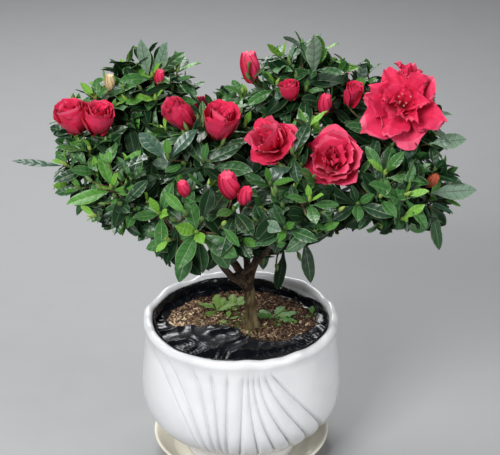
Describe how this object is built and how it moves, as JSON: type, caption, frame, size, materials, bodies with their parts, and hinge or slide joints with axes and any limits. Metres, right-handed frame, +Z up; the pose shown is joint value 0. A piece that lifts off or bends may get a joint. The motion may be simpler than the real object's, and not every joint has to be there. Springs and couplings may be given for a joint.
{
  "type": "azalea shrub in a pot",
  "caption": "Small azalea shrub with a bare trunk, a wide flowering crown and oval leaves, growing in a white glazed bowl pot that stands in its saucer.",
  "frame": {"origin": "the middle of the saucer's flat underside, at the mount base", "axes": "+Z points up from the surface that the saucer stands on; -Y is the plant's front, which the picture is taken from; +X points to the right as seen from the front, where the largest bloom is"},
  "size_m": [0.377, 0.2804, 0.38],
  "materials": {
    "pot_glaze": "gloss",
    "saucer_glaze": "gloss",
    "potting_mix": "rough",
    "film": "gloss",
    "bark": "rough",
    "foliage": "satin"
  },
  "bodies": {
    "root": {"saucer": "saucer_glaze", "pot": "pot_glaze", "potting_mix": "potting_mix", "pot_liner": "film", "trunk": "bark", "bough_left_top": "bark", "bough_right_top": "bark", "bough_front": "bark", "bough_back": "bark", "bough_left_end": "bark", "bough_right_end": "bark", "bough_left_front": "bark", "bough_left_shoulder": "bark", "bough_back_left": "bark", "bough_centre": "bark", "bough_centre_back": "bark", "bough_right_front": "bark", "bough_right_shoulder": "bark", "bough_centre_right": "bark", "bough_front_right": "bark", "bough_back_right": "bark", "bough_low_right": "bark", "leaves_left_top": "foliage", "leaves_right_top": "foliage", "leaves_front": "foliage", "leaves_back": "foliage", "leaves_left_end": "foliage", "leaves_right_end": "foliage", "leaves_left_front": "foliage", "leaves_left_shoulder": "foliage", "leaves_back_left": "foliage", "leaves_centre": "foliage", "leaves_centre_back": "foliage", "leaves_right_front": "foliage", "leaves_right_shoulder": "foliage", "leaves_centre_right": "foliage", "leaves_front_right": "foliage", "leaves_back_right": "foliage", "leaves_low_right": "foliage"}
  },
  "joints": []
}
